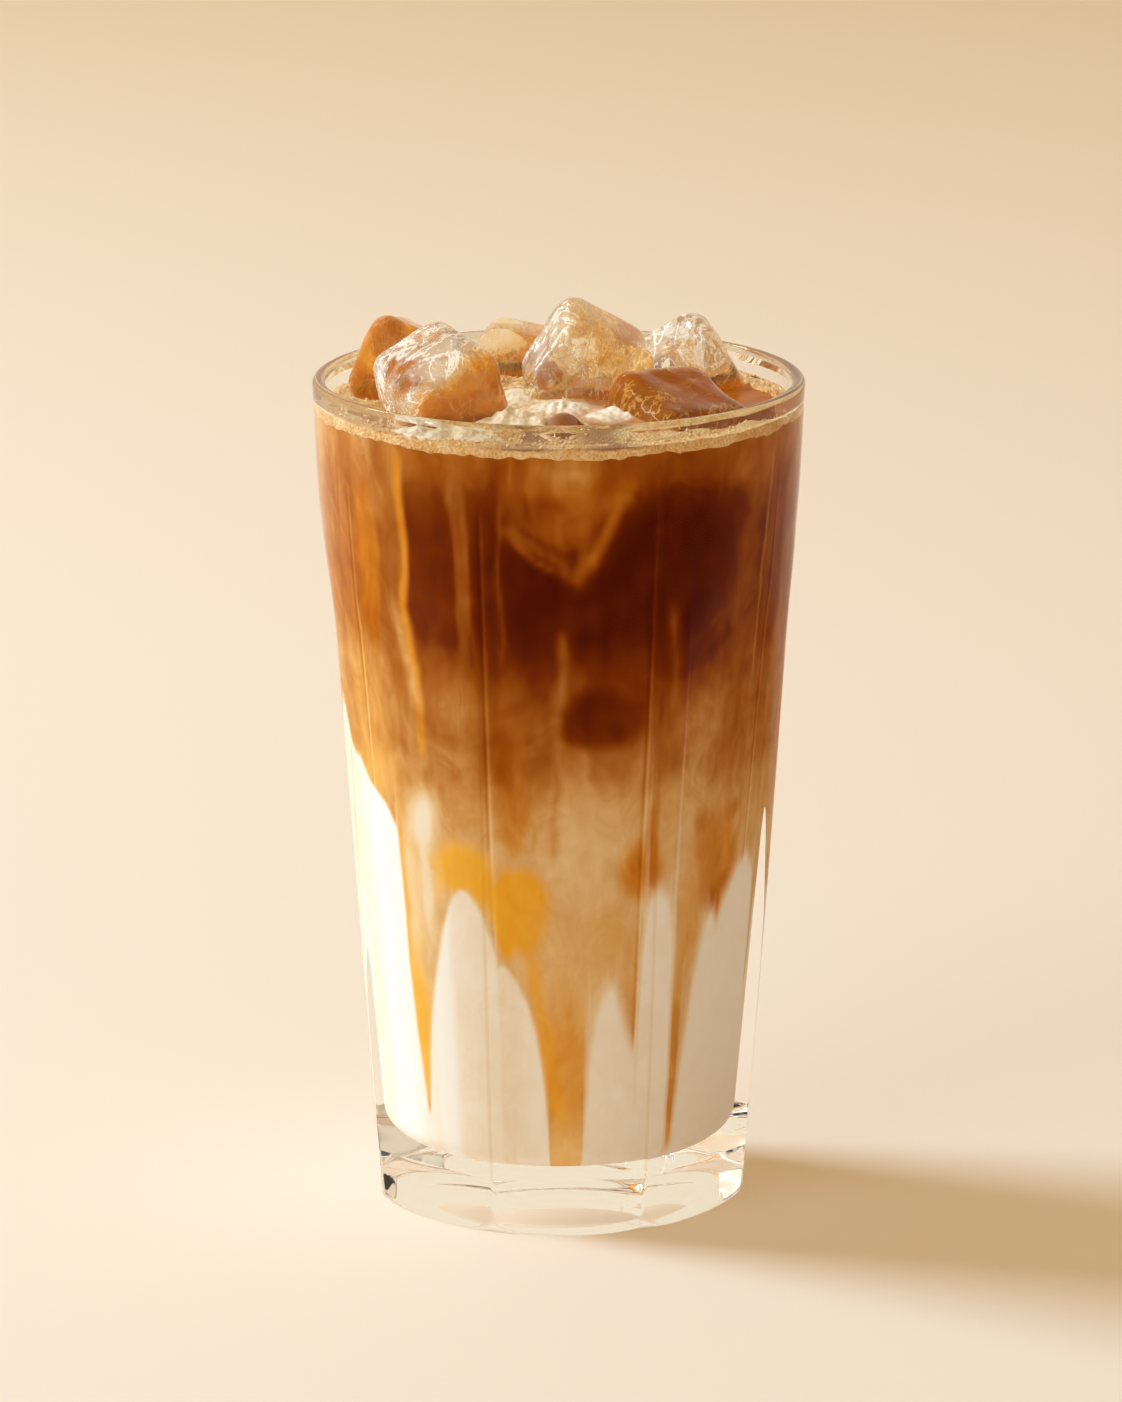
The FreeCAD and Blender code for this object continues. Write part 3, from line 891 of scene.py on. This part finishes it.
def facet_glint_and_shade_lines(points):
    """A fine light line and a darker one beside it, where the drink is seen past each upright edge of the panels: a
    painted glint and a painted shade line for the glass edge.
    """
    angle = angles_of(points)
    step = 360 / PANEL_COUNT
    along = (angle - PANEL_TURN) % step - step / 2
    fade = smooth_step(140, 128, points[:, 2])
    return fade * (0.10 * hill(along + 0.9, 0.5) - 0.16 * hill(along, 0.45))


def drink_fields(points):
    """Coffee strength, amber glow and the distance above the milk's edge at points on the drink's side."""
    warped = points + 0.8 * np.stack([waves(points, 24, 31 + axis) for axis in range(3)], axis=1)
    angle = angles_of(warped)
    height = warped[:, 2]
    by_height = table_value(STRENGTH_BY_HEIGHT, height)
    depth = table_value(DEPTH_BY_ANGLE, angle)
    strength = by_height * (1 + (depth - 1) * smooth_step(80, 105, height))
    amber = 0.15 * np.ones(len(points))
    strength, amber = add_clouds(angle, height, strength, amber, CLOUDS, STREAKS)

    gentle = points + 0.2 * (warped - points)
    angle = angles_of(gentle)
    height = gentle[:, 2]
    places, heights = zip(*GHOST_EDGE)
    inside = height > np.interp(angle, places, heights, left=1e3, right=1e3)
    gap = distance_to_line(angle, height, GHOST_EDGE)
    cover = 0.85 * np.where(inside, smooth_step(-0.5, 1.5, gap), 0)
    strength, amber = lay_over(strength, amber, cover, 0.63, 0.6)
    strength, amber = add_clouds(angle, height, strength, amber, GHOST_CLOUDS, GHOST_STREAKS)

    streaks = waves(points * np.array([1, 1, 0.12]), 7, 71, 3)
    blots = waves(points, 9, 72, 4)
    strength = strength + (0.03 * streaks + 0.03 * blots) * smooth_step(0.15, 0.5, strength)
    edge_gap = np.clip(over_milk(angle, height), -6, 6)
    # painted glints and shade lines at the panels' edges
    strength = strength + facet_glint_and_shade_lines(points) * smooth_step(0.05, 0.3, strength)
    return np.clip(strength, 0.0, 1), np.clip(amber, 0, 1), edge_gap


def bare_ring_radius(angle):
    """Distance from the axis to the edge of the bare coffee, all round."""
    turn = np.radians(angle)
    out = np.stack([np.sin(turn), -np.cos(turn)])
    along = BARE_CENTRE[0] * out[0] + BARE_CENTRE[1] * out[1]
    off_squared = BARE_CENTRE[0] ** 2 + BARE_CENTRE[1] ** 2 - along ** 2
    return along + np.sqrt(BARE_RADIUS ** 2 - off_squared)


# ---------------------------------------------------------------- the drink

# Heaps of pale foam between the cubes: place, radius, height.
FOAM_MOUNDS = [((-9, -17), 6.5, 2.2), ((-14, -26), 5.0, 1.6), ((-8, 3), 4.5, 1.8), ((1, -6), 5.0, 1.6),
    ((-22, -27), 6.0, 1.4), ((9, -13), 4.5, 1.2),
               ((14, 4), 4.0, 1.0)]


def mound_height(points):
    height = np.zeros(len(points))
    for (x, y), radius, rise in FOAM_MOUNDS:
        height = np.maximum(height, rise * hill(np.hypot(points[:, 0] - x, points[:, 1] - y), radius))
    return height * (1 + 0.35 * waves(points, 3.5, 41, 3))


def make_drink(cubes, cutters):
    angle = even_angles(DRINK_COLUMNS)
    rows = []
    corner_radii, corner_heights = floor_corner(8)
    floor = FLOOR_HEIGHT - WALL_REACH
    for radius in (2, 9, 17):
        rows.append(polar_points(angle, radius, floor))
    for radius, height in zip(corner_radii[::-1], corner_heights[::-1]):
        rows.append(polar_points(angle, radius + WALL_REACH, height - WALL_REACH))
    rise = 0.7
    for height in np.arange(corner_heights[0] + 1, COFFEE_LEVEL + rise - 0.5, 1.0):
        rows.append(polar_points(angle, inner_radius(height) + WALL_REACH, height))
    top_edge = inner_radius(COFFEE_LEVEL + rise) + WALL_REACH
    radii = top_edge - np.array([0, 0.4, 0.8, 1.3, 2.0, 2.9, 4.0])
    radii = np.concatenate([radii, np.arange(top_edge - 5.2, 1.0, -1.25)])
    for radius in radii:
        wall_rise = rise * math.exp(-(top_edge - radius) / 0.8)
        rows.append(polar_points(angle, radius, COFFEE_LEVEL + wall_rise))
    piece = closed_turning("drink", rows, (0, 0, floor), (0, 0, COFFEE_LEVEL))

    # the surface climbs a little where it meets ice
    points = vertex_points(piece)
    on_top = points[:, 2] > COFFEE_LEVEL - 0.01
    top_points = points[on_top]
    climb = np.zeros(len(top_points))
    for cube in cubes.values():
        gap = nearest_distance(surface_tree(cube), top_points, 8.0)
        climb = np.maximum(climb, 0.9 * np.exp(-gap / 0.9))
    climb = climb + mound_height(top_points)
    inward = smooth_step(0, 1.0, top_edge - np.hypot(top_points[:, 0], top_points[:, 1]))
    top_points[:, 2] += climb * inward + 0.12 * waves(top_points, 12, 5, 2) * inward
    points[on_top] = top_points
    set_vertex_points(piece, points)

    cut_away(piece, cutters)
    points = vertex_points(piece)
    strength, amber, edge_gap = drink_fields(points)
    radius = np.hypot(points[:, 0], points[:, 1])
    depth_in = inner_radius(points[:, 2]) - radius
    # Away from the wall, on the top and round the ice pockets, the coffee is set paler and, near the surface, amber:
    # a painted glow of light through the coffee.
    inner = smooth_step(0.3, 1.5, depth_in) * (points[:, 2] > 60)
    inner_strength = np.interp(points[:, 2], (120, 138, COFFEE_LEVEL - 1.5, COFFEE_LEVEL), (0.62, 0.44, 0.42, 0.56))
    strength = strength + (inner_strength - strength) * inner
    amber = amber + (0.8 - amber) * inner * smooth_step(120, 136, points[:, 2])
    set_field(piece, "strength", strength)
    angle = angles_of(points)
    edge_gap = edge_gap / table_value(EDGE_SOFTNESS_BY_ANGLE, angle)
    set_field(piece, "over_milk", np.where(inner > 0, 6, edge_gap))
    set_field(piece, "milk_tint_and_highlight", table_value(MILK_TINT_AND_HIGHLIGHT_BY_ANGLE, angle))
    set_field(piece, "amber", amber)
    froth = waves(points, 9, 91, 3)
    left = smooth_step(12, -4, points[:, 0] + 6 * froth)
    pale = np.clip(mound_height(points) / 0.8, 0, 1)
    on_surface = smooth_step(COFFEE_LEVEL - 1.0, COFFEE_LEVEL - 0.2, points[:, 2])
    set_field(piece, "foam", np.maximum(left, pale) * on_surface)
    set_field(piece, "pale", pale * on_surface)

    set_materials(piece, drink_side_material(), drink_top_material())
    for face in piece.data.polygons:
        centre = face.center / MM
        at_wall = math.hypot(centre.x, centre.y) > inner_radius(centre.z) - 0.2
        face.material_index = 0 if at_wall or centre.z < COFFEE_LEVEL - 0.6 else 1
    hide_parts("milk", "milk_coffee_blend", "coffee")
    return piece


# ---------------------------------------------------------------- foam

def make_foam(cutters):
    """The ring of foam at the wall: a ragged lower edge against the glass, a bumpy top, a ragged inner edge."""
    columns = FOAM_COLUMNS
    angle = even_angles(columns)
    rim = polar_points(angle, 41.0, 145.0)
    ragged = waves(rim, 14, 11, 4)
    ragged_fine = waves(rim, 3, 12, 3)
    lower = 144.7 + 0.45 * ragged + 0.22 * ragged_fine
    upper = FOAM_TOP + 0.15 * waves(rim, 10, 13, 2)
    inner = np.minimum(bare_ring_radius(angle) + 1.5 * ragged + 0.5 * ragged_fine, 39.5)
    rows = []
    steps = 10
    for step in range(steps):
        height = lower + (upper - lower) * step / (steps - 1)
        rows.append(polar_points(angle, inner_radius(height) + FOAM_REACH, height))
    wall = inner_radius(FOAM_TOP) + FOAM_REACH
    top_steps = 26
    for step in range(1, top_steps + 1):
        share = step / top_steps
        radius = wall + (inner - wall) * share
        place = polar_points(angle, radius, 0)
        bumps = 0.10 * waves(place, 2.2, 21, 3) + 0.12 * waves(place, 7, 22, 2)
        fall = (upper - COFFEE_LEVEL + 0.3) * smooth_step(0.80, 1.0, share)
        rows.append(polar_points(angle, radius, upper + bumps - 0.35 * hill(share - 0.3, 0.35) - fall))
    rows.append(polar_points(angle, inner + 0.3, np.minimum(lower, COFFEE_LEVEL - 1.0)))
    rows.append(polar_points(angle, inner_radius(lower) - 0.8, lower))
    points = np.concatenate(rows)
    faces = ring_faces(len(rows), columns)
    last = (len(rows) - 1) * columns
    for column in range(columns):
        after = (column + 1) % columns
        faces.append((last + column, last + after, after, column))
    piece = new_object("foam_ring", points, faces)
    cut_away(piece, cutters)
    points = vertex_points(piece)
    angle = angles_of(points) + 1.5 * waves(points, 12, 15, 2)
    near_top = smooth_step(146.0, 146.3, points[:, 2] + 0.2 * waves(points, 5, 16, 3))
    beside_cube = np.maximum(hill(angle + 9, 7), hill(angle - 13, 7))
    set_field(piece, "coffee_shows", 0.75 * near_top * beside_cube)
    set_materials(piece, foam_material())
    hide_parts("foam")
    return piece, lower


def make_bubbles(cubes, foam_lower):
    """Small bubbles along the foam's lower edge at the glass, and on top round the ice and over the surface."""
    random = np.random.default_rng(SEED)
    trees = [surface_tree(cube) for cube in cubes.values()]
    places = []
    sizes = []
    for _ in range(BUBBLES_AT_WALL):
        angle = random.uniform(-180, 180)
        size = random.uniform(0.09, 0.20)
        edge = np.interp(angle % 360, even_angles(len(foam_lower)), foam_lower)
        height = edge + random.uniform(-0.45, 0.2)
        places.append(polar_points(angle, inner_radius(height) - 0.4 * size, height))
        sizes.append(size)
    for _ in range(BUBBLES_ON_TOP):
        radius = 40.5 * math.sqrt(random.uniform(0, 1))
        angle = random.uniform(-180, 180)
        size = random.uniform(0.12, 0.34)
        place = polar_points(angle, radius, FOAM_TOP)
        in_bare = math.hypot(place[0] - BARE_CENTRE[0], place[1] - BARE_CENTRE[1]) < BARE_RADIUS - 1
        gap = min(gap_outside(tree, place) for tree in trees)
        near_ice = math.exp(-gap / 1.2)
        wanted = near_ice if in_bare else 0.2 + near_ice
        if gap < size * 0.8 or random.uniform(0, 1) > wanted:
            continue
        place[2] = COFFEE_LEVEL + 0.1 if in_bare else FOAM_TOP - 0.05
        places.append(place)
        sizes.append(size)
    ball = bmesh.new()
    bmesh.ops.create_icosphere(ball, subdivisions=2, radius=1.0)
    ball_points = np.array([vertex.co[:] for vertex in ball.verts])
    ball_faces = [[vertex.index for vertex in face.verts] for face in ball.faces]
    ball.free()
    points = []
    faces = []
    for index, (place, size) in enumerate(zip(places, sizes)):
        points.append(ball_points * size * np.array([1, 1, 0.8]) + place)
        start = index * len(ball_points)
        faces += [[start + corner for corner in face] for face in ball_faces]
    piece = new_object("foam_bubbles", np.concatenate(points), faces)
    set_materials(piece, bubble_material())
    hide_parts("foam")
    return piece


# ---------------------------------------------------------------- the stage

def make_floor():
    half = 6.0
    below = -0.05 * MM
    mesh = bpy.data.meshes.new("table")
    corners = [(-half, -half, below), (half, -half, below), (half, half, below), (-half, half, below)]
    mesh.from_pydata(corners, [], [(0, 1, 2, 3)])
    floor = bpy.data.objects.new("table", mesh)
    show(floor)
    mesh.materials.append(floor_material())


def add_lamp(name, place, target, size, power, tint, shine=False):
    """An area lamp that either lights matt surfaces or, with shine, only shows in glass and wet surfaces."""
    lamp = bpy.data.lights.new(name, "AREA")
    lamp.shape = "RECTANGLE"
    lamp.size, lamp.size_y = size
    lamp.energy = power
    lamp.color = tint
    holder = bpy.data.objects.new(name, lamp)
    holder.visible_glossy = shine
    holder.visible_diffuse = not shine
    holder.location = place
    holder.rotation_euler = (Vector(target) - Vector(place)).to_track_quat("-Z", "Y").to_euler()
    show(holder)


def make_lighting():
    """A warm room, dimmer on the right, with a large soft lamp on the left and small bright ones for highlights."""
    world = bpy.data.worlds.new("studio")
    world.use_nodes = True
    tree = world.node_tree
    direction = tree.nodes.new("ShaderNodeTexCoord").outputs["Generated"]
    parts = add_node(tree, "ShaderNodeSeparateXYZ", [(direction, "Vector")])
    rightward = share_between(tree, parts.outputs["X"], 0.15, 0.75, smooth=True)
    low = share_between(tree, parts.outputs["Z"], 0.75, 0.40, smooth=True)
    dim = maths(tree, "MULTIPLY", rightward, low)
    room = mix_colours(tree, dim, (0.58, 0.405, 0.17, 1), (0.30, 0.22, 0.11, 1))
    high = share_between(tree, parts.outputs["Z"], 0.45, 0.85, smooth=True)
    backdrop = mix_colours(tree, high, (0.90, 0.78, 0.60, 1), (0.40, 0.31, 0.20, 1))
    beside = share_between(tree, parts.outputs["X"], 0.80, 0.95, smooth=True)
    sides = mix_colours(tree, beside, backdrop, (0.30, 0.24, 0.16, 1))
    # clear material shows the pale backdrop, while matt surfaces get the warm light of the room
    path = tree.nodes.new("ShaderNodeLightPath")
    seen = mix_colours(tree, path.outputs["Is Diffuse Ray"], sides, room)
    tree.links.new(seen, tree.nodes["Background"].inputs["Color"])
    bpy.context.scene.world = world
    middle = (0, 0, HEIGHT * MM / 2)
    top = (0, 0, HEIGHT * MM)
    key_place = (-2.1, 0.75, 1.45)
    add_lamp("key", key_place, middle, (0.85, 1.1), 77, (0.61, 0.80, 1.0))
    add_lamp("fill", (-1.6, -1.6, 1.6), middle, (1.4, 1.4), 12, (0.70, 0.90, 1.0))
    white = (1.0, 0.96, 0.90)
    add_lamp("soft_box", key_place, middle, (0.7, 0.9), 48, white, shine=True)
    add_lamp("sparkle_left", (-1.0, -0.35, 1.0), top, (0.10, 0.16), 0.8, white, shine=True)
    add_lamp("sparkle_back", (-0.5, 1.0, 1.1), top, (0.16, 0.10), 0.8, white, shine=True)
    add_lamp("sparkle_front", (0.25, -0.9, 1.5), top, (0.12, 0.10), 0.6, white, shine=True)


def make_camera():
    """Looks down a little on the drink, from far enough for the rim's ellipse to be nearly even."""
    aside = 0.0004
    distance = 1.3
    height = 0.4212
    down = math.radians(14.25)
    focal_length = 190.9
    camera = bpy.data.cameras.new("camera")
    camera.sensor_width = 36
    camera.lens = focal_length
    holder = bpy.data.objects.new("camera", camera)
    holder.location = (aside, -distance, height)
    holder.rotation_euler = (math.pi / 2 - down, 0, 0)
    show(holder)
    bpy.context.scene.camera = holder


def main():
    scene = bpy.context.scene
    scene.view_settings.view_transform = "Standard"
    make_camera()
    make_lighting()
    make_floor()
    cubes = make_ice()
    cutters = [pocket_cutter(cube) for cube in cubes.values()]
    foam, foam_lower = make_foam(cutters)
    bubbles = make_bubbles(cubes, foam_lower)
    pieces = [make_tumbler(), make_drink(cubes, cutters), foam, bubbles, *cubes.values()]
    for cutter in cutters:
        bpy.data.objects.remove(cutter)
    for piece in pieces:
        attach(piece, "root")


main()
